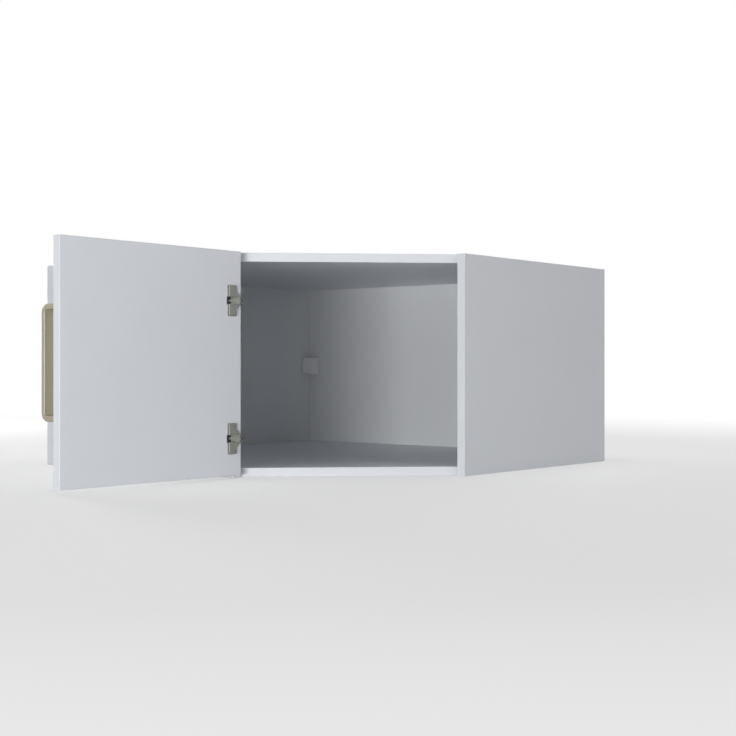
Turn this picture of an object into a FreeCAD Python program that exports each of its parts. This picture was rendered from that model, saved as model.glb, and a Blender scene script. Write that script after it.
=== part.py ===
import FreeCAD, Part
import math
import os

# Corner wall cabinet with one door. Millimetres, Z up.
# The origin is where the two walls meet, at the height of the cabinet's underside. The right-hand wall
# is the plane y = 0 and runs along +X, the left-hand wall is the plane x = 0 and runs along -Y.
# The door stands open, parallel to the left-hand wall.

V = FreeCAD.Vector
UP = V(0, 0, 1)

# Carcass boards
cabinet_height = 400.0
wall_length = 811.5
side_depth = 520.0
board = 16.0
front_setback = 20.8
edge_round = 0.7
back_thickness = 3.0
back_recess = 8.0
groove_depth = 7.0
groove_play = 0.1

# Cuts reach past a surface by this much. Edges are picked by their boxes to within the tolerance.
overcut = 1.0
tolerance = 0.01

# Joints between the boards
dowel_diameter = 8.0
dowel_length = 30.0
dowel_in_side = 10.0
dowel_from_ends = 42.0
cam_from_ends = 104.0
cam_diameter = 15.0
cam_height = 12.5
cam_edge_distance = 34.0
cam_slot_width = 5.4
cam_pocket_play = 0.5
cam_stop_depth = 1.0
bolt_thread_diameter = 5.0
bolt_thread_length = 11.0
bolt_shank_diameter = 6.0
bolt_head_diameter = 7.0
bolt_neck_diameter = 4.0
bolt_head_length = 3.0
bolt_neck_length = 6.2

# Corner block
block_size = 41.0
block_plate = 4.0
block_round = 2.0
block_body_height = 30.0
block_screw_diameter = 3.0
block_screw_length = 12.0
block_screw_head = 6.0
block_screw_head_height = 1.8
block_screw_offset = 7.0
block_screw_from_corner = 12.5

# Door
door_top_reveal = 1.0
door_bottom_reveal = 6.15
door_hinge_reveal = 5.85
door_free_reveal = 4.2
door_gap = 3.0
door_thickness = 16.0
door_edge_round = 0.9
door_opening_angle = 135.0

# Hinges: heights, cup, cover plate
top_hinge_height = 312.0
bottom_hinge_height = 71.0
cup_radius = 17.5
cup_wall = 0.8
cup_depth = 12.0
cup_floor = 0.7
cup_from_edge = 22.8
cup_flat_from_edge = 33.4
cover_from_edge = 14.7
cover_width = 18.9
cover_height = 54.4
cover_thickness = 4.6
cover_round = 1.1
cover_corner_round = 2.4
slot_height = 12.8
notch_play = 0.1
notch_from_edge = 35.6
cup_screw_spacing = 44.0
cup_screw_from_edge = 19.0
cup_screw_diameter = 3.5
cup_screw_head = 6.0
cup_screw_head_height = 1.6
cup_screw_length = 14.0

# Hinges: pins and links. The arm pins are placed from the front corner of the left side panel, the cup
# pins from the hinge edge and the inner face of the door. Link elbows are placed from the front corner,
# with the door closed.
outer_arm_pin = (-34.03, 25.56)
outer_cup_pin = (15.73, 8.2)
outer_link_turn = 27.06
outer_link_elbows = [(1.14, 35.37), (27.65, 26.49), (31.46, 19.05)]
inner_cup_pin = (22.23, 8.2)
inner_arm_pin_offset = 53.21
inner_link_elbows = [(-5.53, 38.31), (20.57, 36.44), (28.03, 31.79)]
arm_pin_radius = 1.5
cup_pin_radius = 1.2
pin_play = 0.05
link_play = 0.3
inner_link_height = 4.4
inner_link_width = 4.0
inner_link_eye = 3.0
outer_link_height = 11.8
outer_link_width = 4.4
outer_link_eye = 3.2
outer_link_cup_eye = 2.6
lug_thickness = 1.8
lug_width = 5.6

# Hinges: arm, mounting plate and their screws, placed from the panel's front edge and its inner face
cheek_thickness = 1.6
cheek_front = 24.5
arm_rear = 82.0
arm_top = 15.4
arm_web_front = 39.5
arm_plate_gap = 0.2
cheek_face_gap = 0.6
cheek_plate_gap = 1.0
cheek_above_pin = 4.0
cheek_slope = 6.0
plate_thickness = 2.4
plate_front = 36.0
plate_rear = 78.0
plate_body_height = 18.0
plate_block_top = 9.0
plate_block_front = 42.0
plate_block_gap = 0.3
wing_from_front = 41.0
wing_width = 16.0
wing_height = 50.0
wing_round = 5.0
plate_screw_spacing = 32.0
plate_screw_diameter = 4.0
plate_screw_head = 7.0
plate_screw_head_height = 2.2
plate_screw_length = 13.0
side_screw_from_front = 48.0
depth_screw_from_front = 68.0
adjusting_screw_diameter = 6.0
adjusting_screw_length = 9.0
recess_depth = 1.4
recess_share = 0.55
recess_bar_share = 0.2

# Handle
handle_length = 184.0
handle_projection = 35.0
handle_band = 9.4
handle_width = 22.0
handle_outer_radius = 14.0
handle_inner_radius = 4.6
handle_edge_round = 3.6
handle_from_free_edge = 3.5
handle_centre_height = 202.6
handle_screw_diameter = 4.0
handle_screw_grip = 12.0
handle_screw_head = 8.0
handle_screw_head_height = 2.6
handle_cap_diameter = 10.0
handle_cap_thickness = 1.4

# Hanging brackets in the upper rear corners
bracket_height = 62.0
bracket_length = 46.0
bracket_thickness = 17.0
bracket_wall = 1.5
bracket_below_top = 6.0
bracket_gap = 0.5
bracket_round = 3.0
bracket_screws_from_front = 13.8
bracket_adjusters_from_front = 32.2
driver_hole_play = 0.4
bracket_screw_spacing = 32.0
bracket_screw_diameter = 5.0
bracket_screw_length = 12.0
bracket_screw_head = 8.6
bracket_screw_head_height = 2.0
hook_width = 12.0
hook_thickness = 3.0
hook_drop = 9.0
hook_above_middle = 12.4
hook_side_gap = 0.3
hook_play = 0.2
hook_foot_from_front = 25.3
hook_foot_length = 16.1
hook_foot_height = 21.7
cutout_margin = 3.0
adjuster_diameter = 6.0
adjuster_length = 8.0
wall_plate_length = 60.0
wall_plate_height = 40.0
wall_plate_thickness = 2.0
wall_plate_screw_spacing = 42.0
wall_plate_hole = 5.5
wall_plate_lip = 1.5
wall_plate_side_gap = 0.5
wall_plate_board_gap = 0.9
wall_plate_ledge_gap = 1.0
wall_plate_holes_below_lip = 28.8
hook_rest_gap = 0.1

# Worked out from the sizes above
inner_wall = wall_length - board
front_line = side_depth + wall_length - front_setback * math.sqrt(2)
front_width = (wall_length - side_depth) * math.sqrt(2)
door_width = front_width - door_hinge_reveal - door_free_reveal
back_face = back_recess + back_thickness
panel_inner_front = front_line - inner_wall
front_corner = V(side_depth, -wall_length, 0)
ALONG = V(1, 1, 0) / math.sqrt(2)
INWARD = V(-1, 1, 0) / math.sqrt(2)
os.makedirs("parts", exist_ok=True)


def box(x0, x1, y0, y1, z0, z1):
    return Part.makeBox(x1 - x0, y1 - y0, z1 - z0, V(x0, y0, z0))


def rod(start, direction, radius, length):
    return Part.makeCylinder(radius, length, start, direction)


def upright(point, radius, z0, z1):
    return rod(V(point.x, point.y, z0), UP, radius, z1 - z0)


def prism(points, z0, z1):
    corners = [V(x, y, z0) for x, y in points]
    outline = Part.makePolygon(corners + corners[:1])
    return Part.Face(outline).extrude(V(0, 0, z1 - z0))


def join(shapes):
    whole = shapes[0]
    if len(shapes) > 1:
        whole = whole.fuse(shapes[1:])
    return whole.removeSplitter()


def group(shapes):
    return Part.makeCompound(shapes)


def edges_where(shape, test):
    return [edge for edge in shape.Edges if test(edge.BoundBox)]


def save(name, shape):
    shape.exportStep("parts/" + name + ".step")
    print(name, "solids", len(shape.Solids), "volume", round(shape.Volume, 1), shape.isValid())


def to_left(shape):
    """The same piece at the left-hand wall: mirrored in the upright plane that halves the room corner."""
    return shape.mirror(V(0, 0, 0), V(1, 1, 0))


def cross_recess(centre, direction, head):
    """Two crossed bars, to be cut from a screw head. The direction points into the head."""
    across = head * recess_share
    bars = []
    for turn in (0, 90):
        width = across * recess_bar_share
        corner = V(-across / 2, -width / 2, -overcut)
        bar = Part.makeBox(across, width, recess_depth + overcut, corner)
        bar.rotate(V(0, 0, 0), UP, turn)
        bars.append(bar)
    cross = bars[0].fuse(bars[1])
    cross.Placement = FreeCAD.Placement(centre, FreeCAD.Rotation(UP, direction))
    return cross


def with_recess(shape, centre, direction, head, plain):
    """The screw with its driver recess, or plain for cutting the hole that it fills."""
    return shape if plain else shape.cut(cross_recess(centre, direction, head))


def flat_screw(head_top, direction, head, head_height, thread, length, plain):
    """A countersunk screw that points along the direction, with the head's flat top at head_top."""
    cone = Part.makeCone(head / 2, thread / 2, head_height, head_top, direction)
    shank = rod(head_top + direction * head_height, direction, thread / 2, length - head_height)
    return with_recess(join([cone, shank]), head_top, direction, head, plain)


def round_screw(head_top, direction, head, head_height, thread, length, plain):
    """A screw with a low cylindrical head, whose top is at head_top. The length counts from there."""
    cap = rod(head_top, direction, head / 2, head_height)
    shank = rod(head_top, direction, thread / 2, length)
    return with_recess(join([cap, shank]), head_top, direction, head, plain)


# ---- carcass boards -------------------------------------------------------------------------------

def joint_places(from_ends):
    """Places along Y of a joint's two like fittings, one near each end of the right side panel."""
    return (-from_ends, from_ends - panel_inner_front)


def joint_heights():
    return (board / 2, cabinet_height - board / 2)


def right_dowels():
    start = inner_wall - (dowel_length - dowel_in_side)
    return [
        rod(V(start, y, z), V(1, 0, 0), dowel_diameter / 2, dowel_length)
        for y in joint_places(dowel_from_ends)
        for z in joint_heights()
    ]


def right_bolt(y, z):
    """A bolt screwed into the side panel, whose neck and head reach into the cam housing."""
    cam_x = inner_wall - cam_edge_distance
    head_start = cam_x - bolt_head_length / 2
    shank_start = head_start + bolt_head_length + bolt_neck_length
    pieces = [
        rod(V(head_start, y, z), V(1, 0, 0), bolt_head_diameter / 2, bolt_head_length),
        rod(V(head_start, y, z), V(1, 0, 0), bolt_neck_diameter / 2, bolt_head_length + bolt_neck_length),
        rod(V(shank_start, y, z), V(1, 0, 0), bolt_shank_diameter / 2, inner_wall - shank_start),
        rod(V(inner_wall, y, z), V(1, 0, 0), bolt_thread_diameter / 2, bolt_thread_length),
    ]
    return join(pieces)


def right_bolts():
    return [right_bolt(y, z) for y in joint_places(cam_from_ends) for z in joint_heights()]


def right_cam_hole(y, top):
    """The round housing's bore, open at the cabinet's top or underside."""
    z = cabinet_height - cam_height if top else 0
    return rod(V(inner_wall - cam_edge_distance, y, z), UP, cam_diameter / 2, cam_height)


def right_cam(y, top):
    """A round cam housing with a slot for the bolt's head, and a cross recess to turn it."""
    centre = V(inner_wall - cam_edge_distance, y, 0)
    z = cabinet_height - board / 2 if top else board / 2
    housing = right_cam_hole(y, top)
    pocket = bolt_head_diameter / 2 + cam_pocket_play
    slot = cam_slot_width / 2
    stop = pocket - cam_stop_depth
    hollow = join([
        box(-pocket, stop, -pocket, pocket, -pocket, pocket),
        box(-pocket, cam_diameter, -slot, slot, -pocket, pocket),
    ])
    hollow.translate(centre + V(0, 0, z))
    housing = housing.cut(hollow)
    face = cabinet_height if top else 0
    inward = V(0, 0, -1) if top else UP
    return housing.cut(cross_recess(V(centre.x, y, face), inward, cam_diameter))


def right_cams():
    return [right_cam(y, top) for y in joint_places(cam_from_ends) for top in (True, False)]


def right_edge_holes():
    """Everything that is bored into the top and bottom panels from the right side panel."""
    holes = right_dowels()
    for y in joint_places(cam_from_ends):
        for z in joint_heights():
            start = V(inner_wall - cam_edge_distance, y, z)
            radius = bolt_head_diameter / 2 + cam_pocket_play
            holes.append(rod(start, V(1, 0, 0), radius, cam_edge_distance))
        for top in (True, False):
            holes.append(right_cam_hole(y, top))
    return holes


def right_side_holes():
    """Everything that is bored into the right side panel from its inner face."""
    holes = right_dowels()
    for y in joint_places(cam_from_ends):
        for z in joint_heights():
            holes.append(rod(V(inner_wall, y, z), V(1, 0, 0), bolt_thread_diameter / 2, bolt_thread_length))
    return holes + right_bracket_shanks()


def right_groove():
    """The groove for the right back board, cut into the top and bottom panels."""
    low = board - groove_depth
    high = cabinet_height - board + groove_depth
    near = groove_play - back_recess
    far = -groove_play - back_face
    return box(back_recess - groove_play, inner_wall + groove_depth, far, near, low, high)


def side_groove():
    near = groove_play - back_recess
    far = -groove_play - back_face
    return box(inner_wall, inner_wall + groove_depth, far, near, 0, cabinet_height)


def right_side_panel():
    panel = box(inner_wall, wall_length, -side_depth, 0, 0, cabinet_height)
    panel = panel.makeFillet(edge_round, edges_where(panel, lambda b: b.YMax < tolerance - side_depth))
    return panel.cut([side_groove()] + right_side_holes())


def flat_panel(z0):
    """The five-cornered top or bottom board, between the side panels."""
    points = [
        (0, 0),
        (inner_wall, 0),
        (inner_wall, -panel_inner_front),
        (panel_inner_front, -inner_wall),
        (0, -inner_wall),
    ]
    panel = prism(points, z0, z0 + board)
    middle = (panel_inner_front + inner_wall) / 2

    def front_edge(b):
        centre = b.Center
        return abs(centre.x - middle) < tolerance and abs(centre.y + middle) < tolerance

    return panel.makeFillet(edge_round, edges_where(panel, front_edge))


def bored_panel(z0):
    groove = right_groove()
    holes = [groove, to_left(groove)]
    for hole in right_edge_holes():
        if hole.BoundBox.ZMin < z0 + board and hole.BoundBox.ZMax > z0:
            holes += [hole, to_left(hole)]
    return flat_panel(z0).cut(holes)


def back_boards():
    """Two thin boards in the grooves. The left one butts against the right one in the corner."""
    low = board - groove_depth
    high = cabinet_height - board + groove_depth
    reach = inner_wall + groove_depth
    right = box(back_recess, reach, -back_face, -back_recess, low, high)
    left = box(back_recess, back_face, -reach, -back_face, low, high)
    holes = block_screws(plain=True) + [right_bracket_cutout(), to_left(right_bracket_cutout())]
    return right.cut(holes), left.cut(holes)


# ---- corner block ---------------------------------------------------------------------------------

def corner_block():
    """A square plate across the corner, on a wedge that fills the corner behind it."""
    half = block_size / 2
    plate = Part.makeBox(block_size, block_plate, block_size, V(-half, -half - block_plate, -half))
    front = tolerance - half - block_plate
    plate = plate.makeFillet(block_round, edges_where(plate, lambda b: b.YMax < front))
    wedge_half = block_body_height / 2
    wedge = prism([(0, 0), (-half, -half), (half, -half)], -wedge_half, wedge_half)
    block = plate.fuse(wedge).removeSplitter()
    block.rotate(V(0, 0, 0), UP, 45)
    block.translate(V(back_face, -back_face, cabinet_height / 2))
    return block.cut(block_screws(plain=True))


def block_screws(plain=False):
    """One screw through each back board into the wedge, one a little higher than the other."""
    along = back_face + block_screw_from_corner
    head_top = V(along, block_screw_head_height - back_recess, cabinet_height / 2)
    right = round_screw(
        head_top,
        V(0, -1, 0),
        block_screw_head,
        block_screw_head_height,
        block_screw_diameter,
        block_screw_length,
        plain,
    )
    left = to_left(right)
    right.translate(V(0, 0, block_screw_offset))
    left.translate(V(0, 0, -block_screw_offset))
    return [right, left]


# ---- hanging brackets -----------------------------------------------------------------------------

def bracket_box():
    """Low and high corners of the right-hand bracket's housing."""
    high = V(inner_wall, -back_face - bracket_gap, cabinet_height - board - bracket_below_top)
    return high - V(bracket_thickness, bracket_length, bracket_height), high


def right_bracket():
    """A housing that is open towards the back board, where the hook comes out."""
    low, high = bracket_box()
    housing = box(low.x, high.x, low.y, high.y, low.z, high.z)
    front = low.y + tolerance
    side = high.x - tolerance
    rounded = edges_where(housing, lambda b: b.YMax < front and b.XMax < side)
    housing = housing.makeFillet(bracket_round, rounded)
    hollow = box(
        low.x + bracket_wall,
        high.x - bracket_wall,
        low.y + bracket_wall,
        high.y + overcut,
        low.z + bracket_wall,
        high.z - bracket_wall,
    )
    holes = right_bracket_screws(plain=True) + right_adjusters(plain=True) + bracket_driver_holes()
    return housing.cut(hollow).cut(holes)


def bracket_screw_places():
    low, high = bracket_box()
    middle = (low.z + high.z) / 2
    y = low.y + bracket_screws_from_front
    return [V(inner_wall, y, middle + side * bracket_screw_spacing / 2) for side in (-1, 1)]


def right_bracket_screws(plain=False):
    """Fixing screws, whose heads hold the housing's inner wall against the side panel."""
    inset = bracket_wall + bracket_screw_head_height
    return [
        round_screw(
            place - V(inset, 0, 0),
            V(1, 0, 0),
            bracket_screw_head,
            bracket_screw_head_height,
            bracket_screw_diameter,
            bracket_screw_length,
            plain,
        )
        for place in bracket_screw_places()
    ]


def right_bracket_shanks():
    """The part of the fixing screws that is inside the side panel."""
    depth = bracket_screw_length - bracket_wall - bracket_screw_head_height
    return [rod(place, V(1, 0, 0), bracket_screw_diameter / 2, depth) for place in bracket_screw_places()]


def bracket_driver_holes():
    """Holes in the front of the housing, to reach the fixing screws with a driver."""
    low, high = bracket_box()
    radius = bracket_screw_head / 2 + driver_hole_play
    return [
        rod(V(low.x - overcut, place.y, place.z), V(1, 0, 0), radius, bracket_wall + 2 * overcut)
        for place in bracket_screw_places()
    ]


def adjuster_places():
    """Height and depth adjusting screws, side by side in the front of the housing."""
    low, high = bracket_box()
    y = low.y + bracket_adjusters_from_front
    middle = (low.z + high.z) / 2
    return [V(low.x, y, middle + side * bracket_screw_spacing / 4) for side in (-1, 1)]


def right_adjusters(plain=False):
    pieces = []
    for place in adjuster_places():
        body = rod(place, V(1, 0, 0), adjuster_diameter / 2, adjuster_length)
        pieces.append(with_recess(body, place, V(1, 0, 0), adjuster_diameter, plain))
    return pieces


def hook_top():
    low, high = bracket_box()
    return (low.z + high.z) / 2 + hook_above_middle


def hook_sides():
    """Places along X of the hook's two flat sides."""
    outer = inner_wall - bracket_wall - hook_side_gap
    return outer - hook_thickness, outer


def right_hook():
    """A flat hook: an arm through the back board, turned down behind the wall plate's lip."""
    low, high = bracket_box()
    x0, x1 = hook_sides()
    top = hook_top()
    tip = -wall_plate_thickness - hook_play
    tooth_depth = wall_plate_gap() - 2 * hook_play
    front = low.y + hook_foot_from_front
    arm = box(x0, x1, front, tip, top - hook_width / 2, top)
    tooth = box(x0, x1, tip - tooth_depth, tip, top - hook_drop, top)
    foot = box(x0, x1, front, front + hook_foot_length, top - hook_foot_height, top)
    return join([arm, tooth, foot])


def wall_plate_gap():
    """Free depth between the wall plate and its lip, where the hook's tooth hangs."""
    return back_recess - wall_plate_thickness - wall_plate_lip - wall_plate_board_gap


def right_bracket_cutout():
    """The opening in the back board for the hook's arm."""
    x0, x1 = hook_sides()
    top = hook_top()
    return box(
        x0 - cutout_margin,
        x1 + cutout_margin,
        -back_face - overcut,
        -back_recess + overcut,
        top - hook_width / 2 - cutout_margin,
        top + cutout_margin,
    )


def wall_plate_box():
    """Low and high corners of the right-hand wall plate, whose top edge is just under the hook's arm."""
    high = V(inner_wall - wall_plate_side_gap, 0, hook_top() - hook_width / 2 - hook_rest_gap)
    return high - V(wall_plate_length, wall_plate_thickness, wall_plate_height), high


def right_wall_plate():
    """A plate against the wall, whose turned-up lip carries the hook."""
    low, high = wall_plate_box()
    lip_rear = low.y - wall_plate_gap()
    lip_front = lip_rear - wall_plate_lip
    ledge_top = hook_top() - hook_drop - wall_plate_ledge_gap
    ledge_low = ledge_top - wall_plate_thickness
    plate = box(low.x, high.x, low.y, 0, low.z, high.z)
    lip = box(low.x, high.x, lip_front, lip_rear, ledge_low, high.z)
    ledge = box(low.x, high.x, lip_front, low.y, ledge_low, ledge_top)
    holes = []
    for side in (-1, 1):
        x = (low.x + high.x + side * wall_plate_screw_spacing) / 2
        start = V(x, overcut, high.z - wall_plate_holes_below_lip)
        holes.append(rod(start, V(0, -1, 0), wall_plate_hole / 2, wall_plate_thickness + 2 * overcut))
    return join([plate, lip, ledge]).cut(holes)


# ---- door and hinges ------------------------------------------------------------------------------

def turned(point, centre, degrees):
    """The point turned about an upright axis through the centre."""
    return centre + FreeCAD.Rotation(UP, degrees).multVec(point - centre)


def closed_door_point(pin):
    """The place, with the door closed, of a pin given from the hinge edge and the inner face."""
    corner = front_corner + ALONG * door_hinge_reveal - INWARD * door_gap
    return corner + ALONG * pin[0] - INWARD * pin[1]


closed_corner = closed_door_point((0, 0))
arm_pin_1 = front_corner + V(outer_arm_pin[0], outer_arm_pin[1], 0)
cup_pin_1_closed = closed_door_point(outer_cup_pin)
cup_pin_1 = turned(cup_pin_1_closed, arm_pin_1, -outer_link_turn)


def opened(point):
    """Where a point of the closed door is when the door stands open."""
    return turned(point - cup_pin_1_closed + cup_pin_1, cup_pin_1, -door_opening_angle)


cup_pin_2_closed = closed_door_point(inner_cup_pin)
cup_pin_2 = opened(cup_pin_2_closed)
# The inner arm pin is equally far from both places of the inner cup pin.
chord = cup_pin_2 - cup_pin_2_closed
chord_side = V(chord.y, -chord.x, 0).normalize()
arm_pin_2 = (cup_pin_2 + cup_pin_2_closed) / 2 + chord_side * inner_arm_pin_offset
inner_link_turn = math.degrees(2 * math.atan2(chord.Length / 2, inner_arm_pin_offset))

door_frame = FreeCAD.Placement(opened(closed_corner), FreeCAD.Rotation(UP, 45 - door_opening_angle))


def on_door(shape):
    """Places a shape that is drawn from the hinge edge (x) and the inner face (y, into the room corner)."""
    placed = shape.copy()
    placed.Placement = door_frame.multiply(placed.Placement)
    return placed


def handle_screw_places():
    s = door_width - handle_from_free_edge - handle_width / 2
    reach = handle_length / 2 - handle_band / 2
    return [V(s, 0, handle_centre_height + side * reach) for side in (-1, 1)]


def handle_screws(plain=False):
    """Machine screws from the door's inner side into the handle's two legs."""
    return [
        round_screw(
            place - V(0, handle_cap_thickness, 0),
            V(0, -1, 0),
            handle_screw_head,
            handle_screw_head_height,
            handle_screw_diameter,
            door_thickness - handle_cap_thickness + handle_screw_grip,
            plain,
        )
        for place in handle_screw_places()
    ]


def handle_caps():
    return [
        rod(place, V(0, -1, 0), handle_cap_diameter / 2, handle_cap_thickness)
        for place in handle_screw_places()
    ]


def handle():
    """A D-shaped strap: two legs and a grip, with large outer and small inner corner radii."""
    s0 = door_width - handle_from_free_edge - handle_width
    z0 = handle_centre_height - handle_length / 2
    z1 = handle_centre_height + handle_length / 2
    face = -door_thickness
    far = face - handle_projection

    def front_edges(shape, y):
        return edges_where(shape, lambda b: b.YMax < y + tolerance and b.XLength > tolerance)

    outer = box(s0, s0 + handle_width, far, face, z0, z1)
    outer = outer.makeFillet(handle_outer_radius, front_edges(outer, far))
    inner = box(
        s0 - overcut,
        s0 + handle_width + overcut,
        far + handle_band,
        face + overcut,
        z0 + handle_band,
        z1 - handle_band,
    )
    inner = inner.makeFillet(handle_inner_radius, front_edges(inner, far + handle_band))
    strap = outer.cut(inner)

    def long_edge(b):
        return b.XLength < tolerance and b.YMin < face - tolerance

    strap = strap.makeFillet(handle_edge_round, edges_where(strap, long_edge))
    return strap.cut(handle_screws(plain=True))


def cup_outline(radius, flat, notch, notch_half, depth):
    """A round cup cut straight on its far side, with a notch there for the links."""
    disc = rod(V(cup_from_edge, 0, 0), V(0, -1, 0), radius, depth)
    keep = box(cup_from_edge - radius, flat, -depth, 0, -radius, radius)
    tongue = box(cup_from_edge, notch, -depth, 0, -notch_half, notch_half)
    return join([disc.common(keep), tongue])


def cup_pocket():
    notch_half = slot_height / 2 + notch_play + cup_wall
    return cup_outline(cup_radius, cup_flat_from_edge, notch_from_edge, notch_half, cup_depth)


def cup_hollow():
    return cup_outline(
        cup_radius - cup_wall,
        cup_flat_from_edge - cup_wall,
        notch_from_edge - cup_wall,
        slot_height / 2 + notch_play,
        cup_depth - cup_floor,
    )


def upright_to_face(b):
    """True for an edge that runs along Y."""
    return b.YLength > tolerance and b.XLength < tolerance and b.ZLength < tolerance


def cup_screws(plain=False):
    return [
        flat_screw(
            V(cup_screw_from_edge, cover_thickness, side * cup_screw_spacing / 2),
            V(0, -1, 0),
            cup_screw_head,
            cup_screw_head_height,
            cup_screw_diameter,
            cup_screw_length,
            plain,
        )
        for side in (-1, 1)
    ]


def cup():
    """The cup, its pin lugs, and the raised cover plate with the slot that the links swing through."""
    half = cover_height / 2
    plate = box(cover_from_edge, cover_from_edge + cover_width, 0, cover_thickness, -half, half)
    bulge = rod(V(cup_from_edge, 0, 0), V(0, 1, 0), cup_radius, cover_thickness)
    near_half = box(cup_from_edge - cup_radius, cup_from_edge, 0, cover_thickness, -cup_radius, cup_radius)
    plate = plate.makeFillet(cover_corner_round, edges_where(plate, upright_to_face))
    cover = join([plate, bulge.common(near_half)])
    top = cover_thickness - tolerance
    cover = cover.makeFillet(cover_round, edges_where(cover, lambda b: b.YMin > top))
    slot_half = slot_height / 2
    slot = box(0, notch_from_edge, -tolerance, cover_thickness + overcut, -slot_half, slot_half)
    cover = cover.cut(slot)
    body = cup_pocket().cut(cup_hollow())
    lugs = []
    lug_start = outer_link_height / 2 + link_play
    for side in (-1, 1):
        z = side * (lug_start + lug_thickness / 2)
        s, depth = outer_cup_pin
        lug = box(
            s - lug_width / 2,
            s + lug_width / 2,
            -cup_depth + cup_floor / 2,
            -depth,
            z - lug_thickness / 2,
            z + lug_thickness / 2,
        )
        eye = rod(V(s, -depth, z - lug_thickness / 2), UP, lug_width / 2, lug_thickness)
        lugs += [lug, eye]
    whole = join([body, cover] + lugs)
    return whole.cut([cup_pin_drawn()] + cup_screws(plain=True))


def cup_pin_drawn():
    s, depth = outer_cup_pin
    half = outer_link_height / 2 + link_play + lug_thickness
    return rod(V(s, -depth, -half), UP, cup_pin_radius, 2 * half)


def strip(points, width, z0, z1):
    """A flat bar of even width with round elbows, through the points."""
    pieces = []
    for start, end in zip(points, points[1:]):
        run = end - start
        side = V(-run.y, run.x, 0).normalize() * (width / 2)
        corners = [start + side, end + side, end - side, start - side]
        pieces.append(prism([(c.x, c.y) for c in corners], z0, z1))
    for point in points[1:]:
        pieces.append(upright(point, width / 2, z0, z1))
    return pieces


def elbows(places):
    return [front_corner + V(x, y, 0) for x, y in places]


def outer_link():
    """Two side bars on a common barrel at the arm pin, drawn with the door closed."""
    half = outer_link_height / 2
    gap = inner_link_height / 2 + link_play
    route = [arm_pin_1] + elbows(outer_link_elbows) + [cup_pin_1_closed]
    pieces = [upright(arm_pin_1, outer_link_eye, -half, half)]
    for z0, z1 in ((-half, -gap), (gap, half)):
        pieces += strip(route, outer_link_width, z0, z1)
        pieces.append(upright(cup_pin_1_closed, outer_link_cup_eye, z0, z1))
    link = join(pieces).cut([
        upright(arm_pin_1, arm_pin_radius + pin_play, -half, half),
        upright(cup_pin_1_closed, cup_pin_radius + pin_play, -half, half),
    ])
    link.rotate(arm_pin_1, UP, -outer_link_turn)
    return link


def inner_link():
    """One bar between the outer link's side bars. Its nose in the cup is free."""
    half = inner_link_height / 2
    route = [arm_pin_2] + elbows(inner_link_elbows) + [cup_pin_2_closed]
    pieces = strip(route, inner_link_width, -half, half)
    pieces.append(upright(arm_pin_2, inner_link_eye, -half, half))
    link = join(pieces).cut(upright(arm_pin_2, arm_pin_radius + pin_play, -half, half))
    link.rotate(arm_pin_2, UP, -inner_link_turn)
    return link


def cheek_start():
    return outer_link_height / 2 + link_play


def arm_pins():
    half = cheek_start() + cheek_thickness
    return [upright(pin, arm_pin_radius, -half, half) for pin in (arm_pin_1, arm_pin_2)]


def panel_point(from_front, above_face, z=0.0):
    """A place on the left side panel, from its front edge and its inner face."""
    return V(side_depth - from_front, -inner_wall + above_face, z)


def arm():
    """A channel with two cheeks that hold the pins, and a web over the mounting plate."""
    rear = panel_point(arm_rear, 0).x
    front = panel_point(cheek_front, 0).x
    wing_front = wing_from_front - wing_width / 2
    lower_front = panel_point(wing_front - cheek_plate_gap, 0).x
    web_front = panel_point(arm_web_front, 0).x
    base = panel_point(0, plate_thickness + arm_plate_gap).y
    floor = panel_point(0, cheek_face_gap).y
    top = panel_point(0, arm_top).y
    outline = [
        (rear, base),
        (lower_front, base),
        (lower_front, floor),
        (front, floor),
        (front, arm_pin_2.y + cheek_above_pin),
        (web_front + cheek_slope, top),
        (rear, top),
    ]
    inner = cheek_start()
    outer = inner + cheek_thickness
    pieces = [
        prism(outline, -outer, -inner),
        prism(outline, inner, outer),
        box(rear, web_front, top - cheek_thickness, top, -outer, outer),
    ]
    return join(pieces).cut(arm_pins() + adjusting_screws(plain=True))


def adjusting_screws(plain=False):
    """Side and depth adjusting screws, flush with the top of the arm's web."""
    pieces = []
    for from_front in (side_screw_from_front, depth_screw_from_front):
        top = panel_point(from_front, arm_top)
        body = rod(top, V(0, -1, 0), adjusting_screw_diameter / 2, adjusting_screw_length)
        pieces.append(with_recess(body, top, V(0, -1, 0), adjusting_screw_diameter, plain))
    return pieces


def plate_screws(plain=False):
    return [
        flat_screw(
            panel_point(wing_from_front, plate_thickness, side * plate_screw_spacing / 2),
            V(0, -1, 0),
            plate_screw_head,
            plate_screw_head_height,
            plate_screw_diameter,
            plate_screw_length,
            plain,
        )
        for side in (-1, 1)
    ]


def mounting_plate():
    """A flat cross on the side panel, with a block between the arm's cheeks."""
    face = panel_point(0, 0).y
    sheet_top = face + plate_thickness
    rear = panel_point(plate_rear, 0).x
    front = panel_point(plate_front, 0).x
    block_front = panel_point(plate_block_front, 0).x
    wing = panel_point(wing_from_front, 0).x
    wing_half = wing_width / 2
    body_half = plate_body_height / 2
    block_half = cheek_start() - plate_block_gap
    wings = box(wing - wing_half, wing + wing_half, face, sheet_top, -wing_height / 2, wing_height / 2)
    pieces = [
        wings.makeFillet(wing_round, edges_where(wings, upright_to_face)),
        box(rear, front, face, sheet_top, -body_half, body_half),
        box(rear, block_front, face, face + plate_block_top, -block_half, block_half),
    ]
    return join(pieces).cut(plate_screws(plain=True) + adjusting_screws(plain=True))


def at_height(shape, height):
    moved = shape.copy()
    moved.translate(V(0, 0, height))
    return moved


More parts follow.
